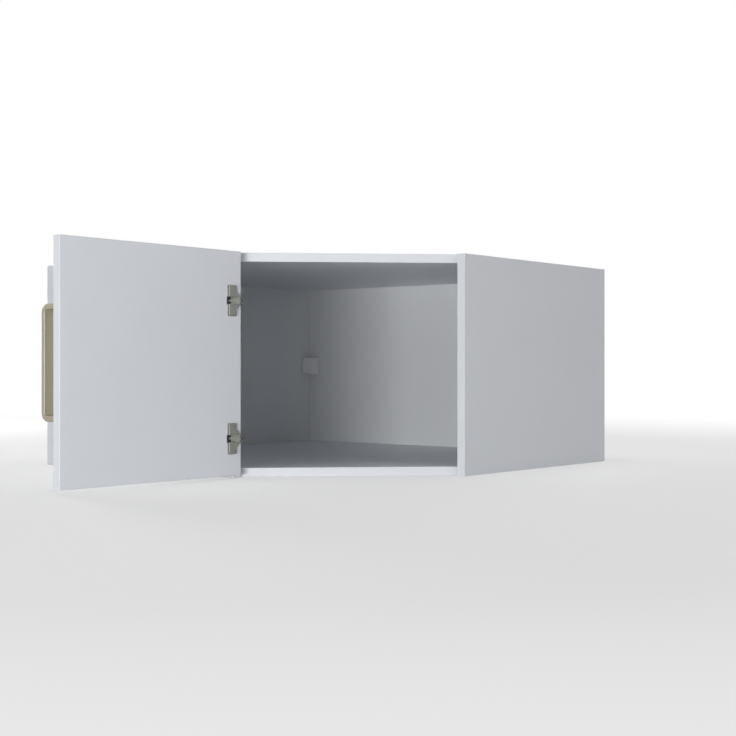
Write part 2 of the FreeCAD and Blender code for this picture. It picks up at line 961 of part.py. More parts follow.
def hinge_nodes():
    """Every piece of one hinge at height zero. Groups are like pieces that share a name."""
    return {
        "cup": on_door(cup()),
        "cup_screws": group([on_door(piece) for piece in cup_screws()]),
        "cup_pin": on_door(cup_pin_drawn()),
        "outer_link": outer_link(),
        "inner_link": inner_link(),
        "arm_pins": group(arm_pins()),
        "arm": arm(),
        "adjusting_screws": group(adjusting_screws()),
        "mounting_plate": mounting_plate(),
        "plate_screws": group(plate_screws()),
    }


hinge_heights = {"top": top_hinge_height, "bottom": bottom_hinge_height}


def left_side_panel():
    panel = to_left(right_side_panel())
    holes = []
    for height in hinge_heights.values():
        holes += [at_height(piece, height) for piece in plate_screws(plain=True)]
    return panel.cut(holes)


def door_panel():
    panel = box(0, door_width, -door_thickness, 0, door_bottom_reveal, cabinet_height - door_top_reveal)
    panel = panel.makeFillet(door_edge_round, panel.Edges)
    holes = handle_screws(plain=True) + handle_caps()
    for height in hinge_heights.values():
        holes.append(at_height(cup_pocket(), height))
        holes += [at_height(piece, height) for piece in cup_screws(plain=True)]
    return on_door(panel.cut(holes))


# ---- write every piece ----------------------------------------------------------------------------

save("top_panel", bored_panel(cabinet_height - board))
save("bottom_panel", bored_panel(0))
save("right_side_panel", right_side_panel())
save("left_side_panel", left_side_panel())
right_back, left_back = back_boards()
save("right_back_board", right_back)
save("left_back_board", left_back)
save("corner_block", corner_block())
save("corner_block_screws", group(block_screws()))

fittings = {
    "wooden_dowels": right_dowels(),
    "cam_bolts": right_bolts(),
    "cam_housings": right_cams(),
}
for name, pieces in fittings.items():
    save(name, group(pieces + [to_left(piece) for piece in pieces]))

hangers = {
    "hanging_bracket": [right_bracket()],
    "bracket_hook": [right_hook()],
    "bracket_adjusting_screws": right_adjusters(),
    "bracket_fixing_screws": right_bracket_screws(),
    "wall_plate": [right_wall_plate()],
}
for name, pieces in hangers.items():
    save("right_" + name, group(pieces) if len(pieces) > 1 else pieces[0])
    mirrored = [to_left(piece) for piece in pieces]
    save("left_" + name, group(mirrored) if len(mirrored) > 1 else mirrored[0])

save("door_panel", door_panel())
save("handle", on_door(handle()))
save("handle_screws", group([on_door(piece) for piece in handle_screws()]))
save("handle_screw_caps", group([on_door(piece) for piece in handle_caps()]))

for place, height in hinge_heights.items():
    for name, shape in hinge_nodes().items():
        save(place + "_hinge_" + name, at_height(shape, height))

for name, pin in (("outer", arm_pin_1), ("inner", arm_pin_2), ("cup", cup_pin_1)):
    print("pin", name, round(pin.x, 4), round(pin.y, 4))
print("turns", outer_link_turn, round(inner_link_turn, 4), door_opening_angle - outer_link_turn)
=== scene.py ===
"""Corner wall cabinet: finishes, handle, screw caps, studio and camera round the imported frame.

Lengths are metres. The frame's origin is the corner where the two walls meet, at the height of the
cabinet's underside.
"""

import math

import bpy
import numpy as np
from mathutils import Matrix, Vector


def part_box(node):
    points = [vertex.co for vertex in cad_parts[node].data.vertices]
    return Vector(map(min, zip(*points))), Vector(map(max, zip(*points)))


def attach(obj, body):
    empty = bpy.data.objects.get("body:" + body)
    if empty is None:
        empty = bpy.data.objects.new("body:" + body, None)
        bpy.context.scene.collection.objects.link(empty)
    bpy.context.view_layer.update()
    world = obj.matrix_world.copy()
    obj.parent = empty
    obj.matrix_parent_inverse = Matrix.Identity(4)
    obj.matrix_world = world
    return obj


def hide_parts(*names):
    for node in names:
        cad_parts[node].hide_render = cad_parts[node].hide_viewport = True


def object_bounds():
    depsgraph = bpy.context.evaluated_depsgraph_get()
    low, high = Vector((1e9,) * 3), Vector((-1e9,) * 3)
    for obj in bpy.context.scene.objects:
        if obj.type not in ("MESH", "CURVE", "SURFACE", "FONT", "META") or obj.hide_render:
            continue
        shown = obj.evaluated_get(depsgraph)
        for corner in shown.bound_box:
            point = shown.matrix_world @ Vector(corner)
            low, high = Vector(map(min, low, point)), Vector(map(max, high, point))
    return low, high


bl_info = {
    "name": "Corner wall cabinet",
    "version": (1, 0, 0),
    "blender": (4, 5, 0),
    "location": "3D View > Sidebar > Cabinet",
    "description": "Finishes, handle, studio and camera for a corner wall cabinet",
    "category": "Object",
}

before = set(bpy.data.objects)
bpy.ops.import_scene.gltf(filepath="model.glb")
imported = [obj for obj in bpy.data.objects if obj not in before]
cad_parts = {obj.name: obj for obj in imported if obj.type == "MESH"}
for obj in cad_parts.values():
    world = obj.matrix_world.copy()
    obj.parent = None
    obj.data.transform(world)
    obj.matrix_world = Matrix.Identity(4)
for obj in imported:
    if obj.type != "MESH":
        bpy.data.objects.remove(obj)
cad_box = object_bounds()
MM = 0.001


def linear(hex_value):
    """An sRGB hex value as linear red, green and blue."""
    channels = np.array([int(hex_value[i:i + 2], 16) for i in (0, 2, 4)]) / 255
    low = channels / 12.92
    high = ((channels + 0.055) / 1.055) ** 2.4
    return tuple(float(c) for c in np.where(channels <= 0.04045, low, high))


# ---- sizes and colours that a user would change -------------------------------------------------

def length(name, description, millimetres):
    return bpy.props.FloatProperty(
        name=name, description=description, default=millimetres * MM, min=0.0, unit="LENGTH",
        precision=5
    )


def colour(name, description, hex_value):
    return bpy.props.FloatVectorProperty(
        name=name, description=description, default=linear(hex_value), size=3, min=0.0, max=1.0,
        subtype="COLOR"
    )


def share(name, description, value):
    return bpy.props.FloatProperty(
        name=name, description=description, default=value, min=0.0, max=1.0, subtype="FACTOR"
    )


def power(name, description, watts):
    return bpy.props.FloatProperty(
        name=name, description=description, default=watts, min=0.0, unit="POWER"
    )


class BoardSettings(bpy.types.PropertyGroup):
    """Faced boards, their edge bands and the thin back boards."""

    face: colour("Board colour", "Colour of the melamine face", "E3E6EB")
    band: colour("Edge band colour", "Colour of the banded edges", "E3E6EB")
    back: colour("Back board colour", "Colour of the lacquered back boards", "E2E4E6")
    roughness: share("Roughness", "Roughness of the melamine face", 0.38)
    pearl: length("Pearl size", "Distance between the bumps of the pressed texture", 1.4)
    band_thickness: length("Band thickness", "Thickness of the edge band", 1.0)
    joint_width: length("Glue line width", "Width of the line between the band and the face", 0.15)
    setback: length(
        "Front setback", "Slanted front edge behind the line between the side panels' corners", 20.8
    )
    flake: length("Flake size", "Size of the wood flakes on raw edges", 2.2)


class HandleSettings(bpy.types.PropertyGroup):
    """The strap handle."""

    band: length("Strap thickness", "Thickness of the strap, seen from its side", 9.4)
    corner: length("Corner radius", "Outer radius of the strap's two corners", 14.0)
    edge: length("Outer edge rounding", "Radius of the long edges on the strap's outside", 3.6)
    inner_edge: length("Inner edge rounding", "Radius of the long edges on the strap's inside", 1.0)
    metal: colour("Handle colour", "Colour of the anodised metal", "B3AD96")
    roughness: share("Handle roughness", "Roughness of the anodised metal", 0.42)


class FittingSettings(bpy.types.PropertyGroup):
    """Hinges, screws, hanging brackets, the corner block and caps."""

    nickel: colour("Nickel colour", "Colour of the hinges' plated cups, arms and plates", "92948E")
    link: colour("Link colour", "Colour of the hinges' plated links", "7C7E79")
    zinc: colour("Zinc colour", "Colour of zinc-plated screws and plates", "B4B7BA")
    cast: colour("Die-cast colour", "Colour of the round cam housings", "9C9EA0")
    block: colour("Block colour", "Colour of the moulded corner block", "D8DADC")
    white: colour("White plastic colour", "Colour of the hanging brackets", "E6E8EA")
    beech: colour("Beech colour", "Colour of the dowels", "D2AE7C")
    cap_crown: length("Cap crown", "Height of a screw cap's crown above the door", 0.1)


class StageSettings(bpy.types.PropertyGroup):
    """Floor, lights and camera."""

    floor: colour("Floor colour", "Colour of the floor near the cabinet", "F2F2F2")
    fade_start: length("Fade start", "Distance at which the floor starts to turn white", 1500)
    fade_end: length("Fade end", "Distance at which the floor is white", 3200)
    whiteness: share(
        "Floor whiteness", "How far the floor is already turned white beside the cabinet", 0.45
    )
    sky: share("Sky light", "Strength of the even light from all round", 0.03)
    key: power("Key light", "Power of the low front lamp", 62.0)
    fill: power("Fill light", "Power of the side lamp", 16.0)
    overhead: power("Overhead light", "Power of the lamp above the cabinet", 38.0)
    left: power("Left light", "Power of the lamp on the left", 50.0)
    rear: power("Rear light", "Power of the lamp behind the cabinet", 34.0)
    lens: bpy.props.FloatProperty(
        name="Lens", description="Focal length", default=66.03 * MM, unit="CAMERA"
    )
    shift: bpy.props.FloatProperty(
        name="Shift", description="Sideways shift of the view", default=0.0635
    )
    azimuth: bpy.props.FloatProperty(
        name="Azimuth", description="Turn of the camera from +Y", default=math.radians(40.04),
        subtype="ANGLE"
    )
    place: bpy.props.FloatVectorProperty(
        name="Camera place", description="Where the camera stands",
        default=(2.1722, -2.5389, 0.1942), size=3, subtype="TRANSLATION", unit="LENGTH"
    )


# ---- finishes -----------------------------------------------------------------------------------

# Nearly all of Blender's noise lies between these, so a tone or gloss that follows it uses its
# whole range.
NOISE_RANGE = {"From_Min": 0.3, "From_Max": 0.7}
COLOURS = {"data_type": "RGBA"}
WHITE = (1.0, 1.0, 1.0)
RESIN_IOR = 1.5
ABS_IOR = 1.53
EDGE_SAMPLES = {"samples": 4}


def add(tree, kind, settings=None, **inputs):
    """Adds a node with its settings and links. An input is a number, a colour, a socket, or a node,
    which stands for its first output in use. _0 is the first input, where several share a name."""
    node = tree.nodes.new("ShaderNode" + kind)
    for name, value in (settings or {}).items():
        setattr(node, name, value)
    for name, value in inputs.items():
        if name.startswith("_"):
            socket = node.inputs[int(name[1:])]
        else:
            title = name.replace("_", " ")
            socket = next(s for s in node.inputs if s.enabled and s.name == title)
        if isinstance(value, bpy.types.Node):
            value = next(s for s in value.outputs if s.enabled)
        if isinstance(value, bpy.types.NodeSocket):
            tree.links.new(value, socket)
        else:
            socket.default_value = (*value, 1.0) if socket.type == "RGBA" else value
    return node


def new_material(name):
    """A material with an empty node tree, and the tree."""
    material = bpy.data.materials.new(name)
    material.use_nodes = True
    material.node_tree.nodes.clear()
    return material, material.node_tree


def dimmed(rgb, amount):
    return tuple(c * amount for c in rgb)


def depth_below(tree, place, planes):
    """Depth of a point below the nearest plane: the least, over the planes, of the plane's offset
    minus the point's distance along its direction."""
    least = None
    for direction, offset in planes:
        along = add(tree, "VectorMath", {"operation": "DOT_PRODUCT"}, _0=place, _1=direction)
        depth = add(tree, "Math", {"operation": "SUBTRACT"}, _0=offset, _1=along)
        least = depth if least is None else add(
            tree, "Math", {"operation": "MINIMUM"}, _0=least, _1=depth
        )
    return least


def turned_to(tree, facing, directions):
    """1 on the sides that face one of the directions, and 0 on the others: a side counts where its
    normal's share along the direction is over 0.9."""
    chosen = None
    for direction in directions:
        along = add(tree, "VectorMath", {"operation": "DOT_PRODUCT"}, _0=facing, _1=direction)
        here = add(tree, "Math", {"operation": "GREATER_THAN"}, _0=along, _1=0.9)
        chosen = here if chosen is None else add(
            tree, "Math", {"operation": "MAXIMUM"}, _0=chosen, _1=here
        )
    return chosen


def melamine_faced_chipboard(name, sizes, bands, raw_sides):
    """White melamine on chipboard: pressed in a hot press against a pearl-textured plate, so it has
    a soft even sheen. The edge bands are ABS, with a hairline of glue where they meet the face.
    Sides that nobody sees are left as sawn chipboard.

    bands are the banded planes as (outward direction, offset), raw_sides the directions of sawn
    sides. The glue line and the pearl are drawn as coarse as they need to show.
    """
    cloud_size, cloud_tone, cloud_gloss = 110 * MM, 0.985, 0.03
    glue_tone, sawn_roughness = 0.55, 0.85
    pearl_depth, pearl_strength, edge_rounding = 0.02 * MM, 0.6, 0.4 * MM

    material, tree = new_material(name)
    coordinates = add(tree, "TexCoord").outputs
    place = coordinates["Object"]

    cloud = add(tree, "TexNoise", Vector=place, Scale=1 / cloud_size, Detail=3.0)
    tone = add(
        tree, "Mix", COLOURS, Factor=add(tree, "MapRange", Value=cloud, **NOISE_RANGE),
        A=dimmed(sizes.face, cloud_tone), B=sizes.face
    )
    roughness = add(
        tree, "MapRange", Value=cloud, To_Min=sizes.roughness - cloud_gloss,
        To_Max=sizes.roughness + cloud_gloss, **NOISE_RANGE
    )

    depth = depth_below(tree, place, bands)
    in_band = add(
        tree, "Math", {"operation": "LESS_THAN"}, _0=depth, _1=sizes.band_thickness
    )
    in_glue = add(
        tree, "Math", {"operation": "COMPARE"}, _0=depth, _1=sizes.band_thickness,
        _2=sizes.joint_width / 2
    )
    tone = add(tree, "Mix", COLOURS, Factor=in_band, A=tone, B=sizes.band)
    tone = add(tree, "Mix", COLOURS, Factor=in_glue, A=tone, B=dimmed(sizes.face, glue_tone))

    pearl = add(tree, "TexNoise", Vector=place, Scale=1 / sizes.pearl, Detail=1.0)
    normal = add(
        tree, "Bump", Height=add(tree, "MapRange", Value=pearl, **NOISE_RANGE),
        Distance=pearl_depth, Strength=pearl_strength,
        Normal=add(tree, "Bevel", EDGE_SAMPLES, Radius=edge_rounding)
    )

    if raw_sides:
        raw = turned_to(tree, coordinates["Normal"], raw_sides)
        sawn, sawn_normal = sawn_chipboard(tree, place, sizes.flake)
        tone = add(tree, "Mix", COLOURS, Factor=raw, A=tone, B=sawn)
        roughness = add(
            tree, "Mix", {"data_type": "FLOAT"}, Factor=raw, A=roughness, B=sawn_roughness
        )
        normal = add(tree, "Mix", {"data_type": "VECTOR"}, Factor=raw, A=normal, B=sawn_normal)

    shader = add(
        tree, "BsdfPrincipled", Base_Color=tone, Roughness=roughness, Normal=normal, IOR=RESIN_IOR
    )
    add(tree, "OutputMaterial", Surface=shader)
    return material


def sawn_chipboard(tree, place, flake):
    """Colour and normal of sawn chipboard: wood flakes a few millimetres long in two browns, with
    dark pores a third of their size between them."""
    flatness, pore_cover = 1.6, 0.55
    flake_depth, flake_strength = 0.15 * MM, 0.7
    pore_range = {"From_Min": 0.25, "From_Max": 0.5}

    stretched = add(
        tree, "Mapping", Vector=place, Scale=(1.0, 1.0, flatness),
        Rotation=(0.0, 0.0, math.radians(45))
    )
    flakes = add(tree, "TexVoronoi", Vector=stretched, Scale=1 / flake)
    tone = add(
        tree, "Mix", COLOURS, Factor=add(tree, "SeparateColor", Color=flakes.outputs["Color"]),
        A=linear("A68A64"), B=linear("D9C4A0")
    )
    pores = add(tree, "TexNoise", Vector=place, Scale=3 / flake, Detail=3.0)
    tone = add(
        tree, "Mix", COLOURS, A=tone, B=linear("755F46"),
        Factor=add(tree, "MapRange", Value=pores, To_Min=pore_cover, To_Max=0.0, **pore_range)
    )
    normal = add(
        tree, "Bump", Height=flakes.outputs["Distance"], Distance=flake_depth,
        Strength=flake_strength
    )
    return tone, normal


def lacquered_hardboard(name, sizes):
    """Thin hardboard with a rolled white lacquer: matter than the melamine, with a faint felt of
    fibres that shows in its sheen."""
    fibre_size, fibre_depth, fibre_strength = 2.4 * MM, 0.03 * MM, 0.5
    cloud_size, cloud_tone = 160 * MM, 0.98
    smoothest, roughest = 0.48, 0.56

    material, tree = new_material(name)
    place = add(tree, "TexCoord").outputs["Object"]
    fibres = add(
        tree, "TexNoise", Vector=place, Scale=1 / fibre_size, Detail=4.0, Roughness=0.6
    )
    cloud = add(tree, "TexNoise", Vector=place, Scale=1 / cloud_size, Detail=2.0)
    tone = add(
        tree, "Mix", COLOURS, Factor=add(tree, "MapRange", Value=cloud, **NOISE_RANGE),
        A=dimmed(sizes.back, cloud_tone), B=sizes.back
    )
    roughness = add(
        tree, "MapRange", Value=fibres, To_Min=smoothest, To_Max=roughest, **NOISE_RANGE
    )
    normal = add(tree, "Bump", Height=fibres, Distance=fibre_depth, Strength=fibre_strength)
    shader = add(
        tree, "BsdfPrincipled", Base_Color=tone, Roughness=roughness, Normal=normal, IOR=RESIN_IOR
    )
    add(tree, "OutputMaterial", Surface=shader)
    return material


def moulded_plastic(name, rgb, roughness, grit):
    """Injection-moulded ABS: the fine even grain of a spark-eroded mould, which dulls it a little,
    and edges slightly rounded. The grit is drawn coarser than a mould's, as it needs to show."""
    cloud_size, cloud_tone = 20 * MM, 0.96
    grit_depth, grit_strength, grit_gloss, edge_rounding = 0.03 * MM, 0.5, 0.05, 0.35 * MM

    material, tree = new_material(name)
    place = add(tree, "TexCoord").outputs["Object"]
    grain = add(tree, "TexNoise", Vector=place, Scale=1 / grit, Detail=2.0)
    cloud = add(tree, "TexNoise", Vector=place, Scale=1 / cloud_size, Detail=2.0)
    tone = add(
        tree, "Mix", COLOURS, Factor=add(tree, "MapRange", Value=cloud, **NOISE_RANGE),
        A=dimmed(rgb, cloud_tone), B=rgb
    )
    gloss = add(
        tree, "MapRange", Value=grain, To_Min=roughness - grit_gloss,
        To_Max=roughness + grit_gloss, **NOISE_RANGE
    )
    normal = add(
        tree, "Bump", Height=grain, Distance=grit_depth, Strength=grit_strength,
        Normal=add(tree, "Bevel", EDGE_SAMPLES, Radius=edge_rounding)
    )
    shader = add(
        tree, "BsdfPrincipled", Base_Color=tone, Roughness=gloss, Normal=normal, IOR=ABS_IOR
    )
    add(tree, "OutputMaterial", Surface=shader)
    return material


def plated_steel(name, rgb, roughness, mottling, stroke):
    """Pressed or turned steel with a thin plating: a soft satin with faint level strokes from the
    barrel, and a slightly uneven tone. A metal keeps the default IOR.

    mottling is the size of the tone's patches, and stroke the length of the strokes, which are
    drawn coarser than real ones, as they need to show.
    """
    stroke_flatness, stroke_depth, stroke_strength = 7.0, 0.01 * MM, 0.5
    mottle_tone, edge_rounding = 0.86, 0.2 * MM
    smoother, rougher = 0.06, 0.08

    material, tree = new_material(name)
    place = add(tree, "TexCoord").outputs["Object"]
    level = add(tree, "Mapping", Vector=place, Scale=(1.0, 1.0, stroke_flatness))
    strokes = add(tree, "TexNoise", Vector=level, Scale=1 / stroke, Detail=4.0)
    mottle = add(tree, "TexNoise", Vector=place, Scale=1 / mottling, Detail=3.0)
    tone = add(
        tree, "Mix", COLOURS, Factor=add(tree, "MapRange", Value=mottle, **NOISE_RANGE),
        A=dimmed(rgb, mottle_tone), B=rgb
    )
    gloss = add(
        tree, "MapRange", Value=strokes, To_Min=roughness - smoother, To_Max=roughness + rougher,
        **NOISE_RANGE
    )
    normal = add(
        tree, "Bump", Height=strokes, Distance=stroke_depth, Strength=stroke_strength,
        Normal=add(tree, "Bevel", EDGE_SAMPLES, Radius=edge_rounding)
    )
    shader = add(
        tree, "BsdfPrincipled", Base_Color=tone, Metallic=1.0, Roughness=gloss, Normal=normal
    )
    add(tree, "OutputMaterial", Surface=shader)
    return material


def anodised_aluminium(name, rgb, roughness):
    """Extruded aluminium, brushed along its length and anodised champagne: fine lines that run
    along the strap and spread its highlights. The clear oxide over the metal dulls its mirror, so
    it is half metallic. The lines follow the piece's own map, whose first axis is its length. They
    are drawn wider than real ones, as they need to show."""
    line_length, line_width = 30 * MM, 0.5 * MM
    line_tone, line_depth, line_strength = 0.9, 0.006 * MM, 0.4
    metal_share, smoother, rougher = 0.5, 0.06, 0.08

    material, tree = new_material(name)
    along = add(tree, "UVMap", {"uv_map": "length_and_girth"})
    drawn_out = add(tree, "Mapping", Vector=along, Scale=(1.0, line_length / line_width, 1.0))
    lines = add(
        tree, "TexNoise", Vector=drawn_out, Scale=1 / line_length, Detail=5.0, Roughness=0.65
    )
    tone = add(
        tree, "Mix", COLOURS, Factor=add(tree, "MapRange", Value=lines, **NOISE_RANGE),
        A=dimmed(rgb, line_tone), B=rgb
    )
    gloss = add(
        tree, "MapRange", Value=lines, To_Min=roughness - smoother, To_Max=roughness + rougher,
        **NOISE_RANGE
    )
    shader = add(
        tree, "BsdfPrincipled", Base_Color=tone, Metallic=metal_share, Roughness=gloss,
        Normal=add(tree, "Bump", Height=lines, Distance=line_depth, Strength=line_strength)
    )
    add(tree, "OutputMaterial", Surface=shader)
    return material


def turned_beech(name, rgb):
    """Grooved beech dowels: short dark flecks along a pale straight grain, unvarnished and dull."""
    fleck_length, fleck_flatness, fleck_tone = 3 * MM, 8.0, 0.7
    fleck_depth, fleck_strength, roughness = 0.03 * MM, 0.6, 0.7

    material, tree = new_material(name)
    place = add(tree, "TexCoord").outputs["Object"]
    level = add(tree, "Mapping", Vector=place, Scale=(1.0, 1.0, fleck_flatness))
    flecks = add(tree, "TexNoise", Vector=level, Scale=1 / fleck_length, Detail=4.0)
    shade = add(tree, "MapRange", Value=flecks, To_Min=1.0, To_Max=0.0, **NOISE_RANGE)
    shader = add(
        tree, "BsdfPrincipled", Roughness=roughness,
        Base_Color=add(tree, "Mix", COLOURS, Factor=shade, A=dimmed(rgb, fleck_tone), B=rgb),
        Normal=add(tree, "Bump", Height=flecks, Distance=fleck_depth, Strength=fleck_strength)
    )
    add(tree, "OutputMaterial", Surface=shader)
    return material


# ---- surfaces -----------------------------------------------------------------------------------

LEG_POINTS, CORNER_POINTS, GRIP_POINTS = 6, 12, 14
EDGE_POINTS = 7
CAP_TURNS = 40
FLOOR_TURNS = 64
FLOOR_RINGS = (0.4, 0.8, 1.6, 3.2, 6.4, 12.0)


def grid_faces(rows, columns):
    """Quads of a grid of rows by columns points, whose last column joins the first."""
    row, column = np.meshgrid(np.arange(rows - 1), np.arange(columns), indexing="ij")
    following = (column + 1) % columns
    corners = (row * columns + column, row * columns + following,
               (row + 1) * columns + following, (row + 1) * columns + column)
    return np.stack(corners, axis=-1).reshape(-1, 4)


def mesh_piece(name, points, faces):
    """A smooth-shaded mesh object at the origin, with its place in its mesh."""
    mesh = bpy.data.meshes.new(name)
    mesh.from_pydata(points.tolist(), [], faces)
    mesh.polygons.foreach_set("use_smooth", np.full(len(mesh.polygons), True))
    mesh.update()
    piece = bpy.data.objects.new(name, mesh)
    bpy.context.scene.collection.objects.link(piece)
    return piece


def rounded_section(thickness, width, outer, inner):
    """A rectangle with round corners, counted anticlockwise: each corner is the quarter circle
    centre + radius * (cos a, sin a), with a from the corner's first side to its second. The two
    corners at the outside of the thickness have the outer radius, the other two the inner one."""
    quarter = np.linspace(0.0, math.pi / 2, EDGE_POINTS)
    start = np.repeat([0.0, math.pi / 2, math.pi, 1.5 * math.pi], EDGE_POINTS)
    turn = np.tile(quarter, 4) + start
    side = np.repeat([[1, 1], [-1, 1], [-1, -1], [1, -1]], EDGE_POINTS, axis=0)
    radius = np.repeat([outer, inner, inner, outer], EDGE_POINTS)[:, None]
    centre = side * (np.array([thickness, width]) / 2 - radius)
    return centre + radius * np.stack([np.cos(turn), np.sin(turn)], axis=-1)


def strap_path(reach, half_length, corner):
    """The strap's middle line in its own plane, out from the door, along and back: two straight
    legs, the grip, and two quarter circles of the given radius between them. The first half is
    worked out and mirrored. Returns points and outward normals."""
    arc = np.linspace(0.0, math.pi / 2, CORNER_POINTS)
    bend = np.stack([
        reach - corner + corner * np.sin(arc), corner - half_length - corner * np.cos(arc)
    ], -1)
    bend_out = np.stack([np.sin(arc), -np.cos(arc)], -1)
    legs = np.linspace(0.0, reach - corner, LEG_POINTS)[:-1]
    leg = np.stack([legs, np.full_like(legs, -half_length)], -1)
    leg_out = np.tile([0.0, -1.0], (len(legs), 1))
    grips = np.linspace(corner - half_length, 0.0, GRIP_POINTS)[1:]
    grip = np.stack([np.full_like(grips, reach), grips], -1)
    grip_out = np.tile([1.0, 0.0], (len(grips), 1))
    points = np.concatenate([leg, bend, grip])
    outward = np.concatenate([leg_out, bend_out, grip_out])
    mirrored = points[:-1][::-1] * [1, -1]
    mirrored_out = outward[:-1][::-1] * [1, -1]
    return np.concatenate([points, mirrored]), np.concatenate([outward, mirrored_out])


def strap_handle(name, low, high, sizes):
    """A rounded rectangle carried along the D-shaped middle line. A point is
    path(t) + outward(t) * a(s) + across * b(s), where (a, b) runs round the section. The map holds
    the distance along the path and the distance round the section."""
    path, outward = strap_path(
        high.x - low.x - sizes.band / 2, (high.z - low.z - sizes.band) / 2,
        sizes.corner - sizes.band / 2
    )
    section = rounded_section(sizes.band, high.y - low.y, sizes.edge, sizes.inner_edge)
    rows, columns = len(path), len(section)
    middle = np.array([high.x, (low.y + high.y) / 2, (low.z + high.z) / 2])
    flat = path[:, None, :] + outward[:, None, :] * section[None, :, :1]
    points = np.empty((rows, columns, 3))
    points[..., 0] = middle[0] - flat[..., 0]
    points[..., 1] = middle[1] + section[None, :, 1]
    points[..., 2] = middle[2] + flat[..., 1]
    faces = grid_faces(rows, columns).tolist()
    ends = [list(range(columns))[::-1], list(range((rows - 1) * columns, rows * columns))]
    piece = mesh_piece(name, points.reshape(-1, 3), faces + ends)
    piece.data.polygons.foreach_set("use_smooth", np.array([True] * len(faces) + [False, False]))

    run = np.concatenate([[0.0], np.cumsum(np.linalg.norm(np.diff(path, axis=0), axis=1))])
    girth = np.linalg.norm(np.diff(section, axis=0, append=section[:1]), axis=1)
    round_it = np.concatenate([[0.0], np.cumsum(girth)])
    row, column = np.meshgrid(np.arange(rows - 1), np.arange(columns), indexing="ij")
    corners = np.stack([
        np.stack([run[row + r], round_it[column + c]], -1)
        for r, c in ((0, 0), (0, 1), (1, 1), (1, 0))
    ], axis=2).reshape(-1, 2)
    end_corners = np.zeros((2 * columns, 2))
    layer = piece.data.uv_layers.new(name="length_and_girth")
    layer.data.foreach_set("uv", np.concatenate([corners, end_corners]).ravel())
    return piece


def domed_cap(name, centre, radius, depth, crown):
    """A flat-rimmed cap turned about X: its height above the face is crown * (1 - (r / radius)^2),
    with the rim running back into the bore by its depth. Rings of the profile meet in one point at
    the crown."""
    dome = np.linspace(0.12, 0.94, 7)
    rim, rim_heights = [0.985, 1.0, 1.0], [crown * 0.03, -crown * 0.3, -depth]
    r = np.concatenate([dome, rim]) * radius
    out = np.concatenate([crown * (1 - (r[:len(dome)] / radius) ** 2), rim_heights])
    turn = np.linspace(0.0, 2 * math.pi, CAP_TURNS, endpoint=False)
    rings = np.empty((len(r), CAP_TURNS, 3))
    rings[..., 0] = centre[0] + out[:, None]
    rings[..., 1] = centre[1] + r[:, None] * np.cos(turn)
    rings[..., 2] = centre[2] + r[:, None] * np.sin(turn)
    points = np.concatenate([rings.reshape(-1, 3), [[centre[0] + crown, centre[1], centre[2]]]])
    tip = len(r) * CAP_TURNS
    faces = grid_faces(len(r), CAP_TURNS)[:, ::-1].tolist()
    crown_faces = [[tip, i, (i + 1) % CAP_TURNS] for i in range(CAP_TURNS)]
    back = [list(range(tip - CAP_TURNS, tip))[::-1]]
    return mesh_piece(name, points, faces + crown_faces + back)


def floor_disc(name, centre, height):
    """A flat disc: point = centre + r * (cos a, sin a), with rings r that about double outwards."""
    r = np.array(FLOOR_RINGS)
    turn = np.linspace(0.0, 2 * math.pi, FLOOR_TURNS, endpoint=False)
    rings = np.empty((len(r), FLOOR_TURNS, 3))
    rings[..., 0] = centre[0] + r[:, None] * np.cos(turn)
    rings[..., 1] = centre[1] + r[:, None] * np.sin(turn)
    rings[..., 2] = height
    faces = grid_faces(len(r), FLOOR_TURNS)[:, ::-1].tolist()
    return mesh_piece(name, rings.reshape(-1, 3), faces + [list(range(FLOOR_TURNS))])


# ---- one operator for each piece or group of like pieces ----------------------------------------

def dress(nodes, material):
    """Gives the nodes the material in place of the frame's own."""
    for name in nodes:
        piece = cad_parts[name]
        piece.data.materials.clear()
        piece.data.materials.append(material)


def box_planes(node, directions):
    """The planes of a node's box that face the directions, as (direction, offset)."""
    low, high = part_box(node)
    return [
        (d, sum(c * (high[i] if c > 0 else low[i]) for i, c in enumerate(d))) for d in directions
    ]


class FinishSidePanels(bpy.types.Operator):
    """Faces and edge-bands the two side panels."""

    bl_idname = "cabinet.finish_side_panels"
    bl_label = "Side panels"

    def execute(self, context):
        sizes = context.scene.cabinet_boards
        right = box_planes("right_side_panel", [(0, -1, 0)])
        left = box_planes("left_side_panel", [(1, 0, 0)])
        dress(["right_side_panel"], melamine_faced_chipboard(
            "melamine_right_side", sizes, bands=right, raw_sides=[(0, 1, 0)]
        ))
        dress(["left_side_panel"], melamine_faced_chipboard(
            "melamine_left_side", sizes, bands=left, raw_sides=[(-1, 0, 0)]
        ))
        return {"FINISHED"}


class FinishTopAndBottom(bpy.types.Operator):
    """Faces the five-cornered top and bottom boards and bands their slanted front edge."""

    bl_idname = "cabinet.finish_top_and_bottom"
    bl_label = "Top and bottom"

    def execute(self, context):
        sizes = context.scene.cabinet_boards
        half = math.sqrt(0.5)
        low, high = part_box("right_side_panel")
        slant = (half, -half, 0)
        offset = (high.x - low.y) * half - sizes.setback
        dress(["top_panel", "bottom_panel"], melamine_faced_chipboard(
            "melamine_top_and_bottom", sizes, bands=[(slant, offset)],
            raw_sides=[(0, 1, 0), (-1, 0, 0)]
        ))
        return {"FINISHED"}


class FinishBackBoards(bpy.types.Operator):
    """Lacquers the two thin back boards."""

    bl_idname = "cabinet.finish_back_boards"
    bl_label = "Back boards"

    def execute(self, context):
        lacquer = lacquered_hardboard("lacquered_hardboard", context.scene.cabinet_boards)
        dress(["left_back_board", "right_back_board"], lacquer)
        return {"FINISHED"}


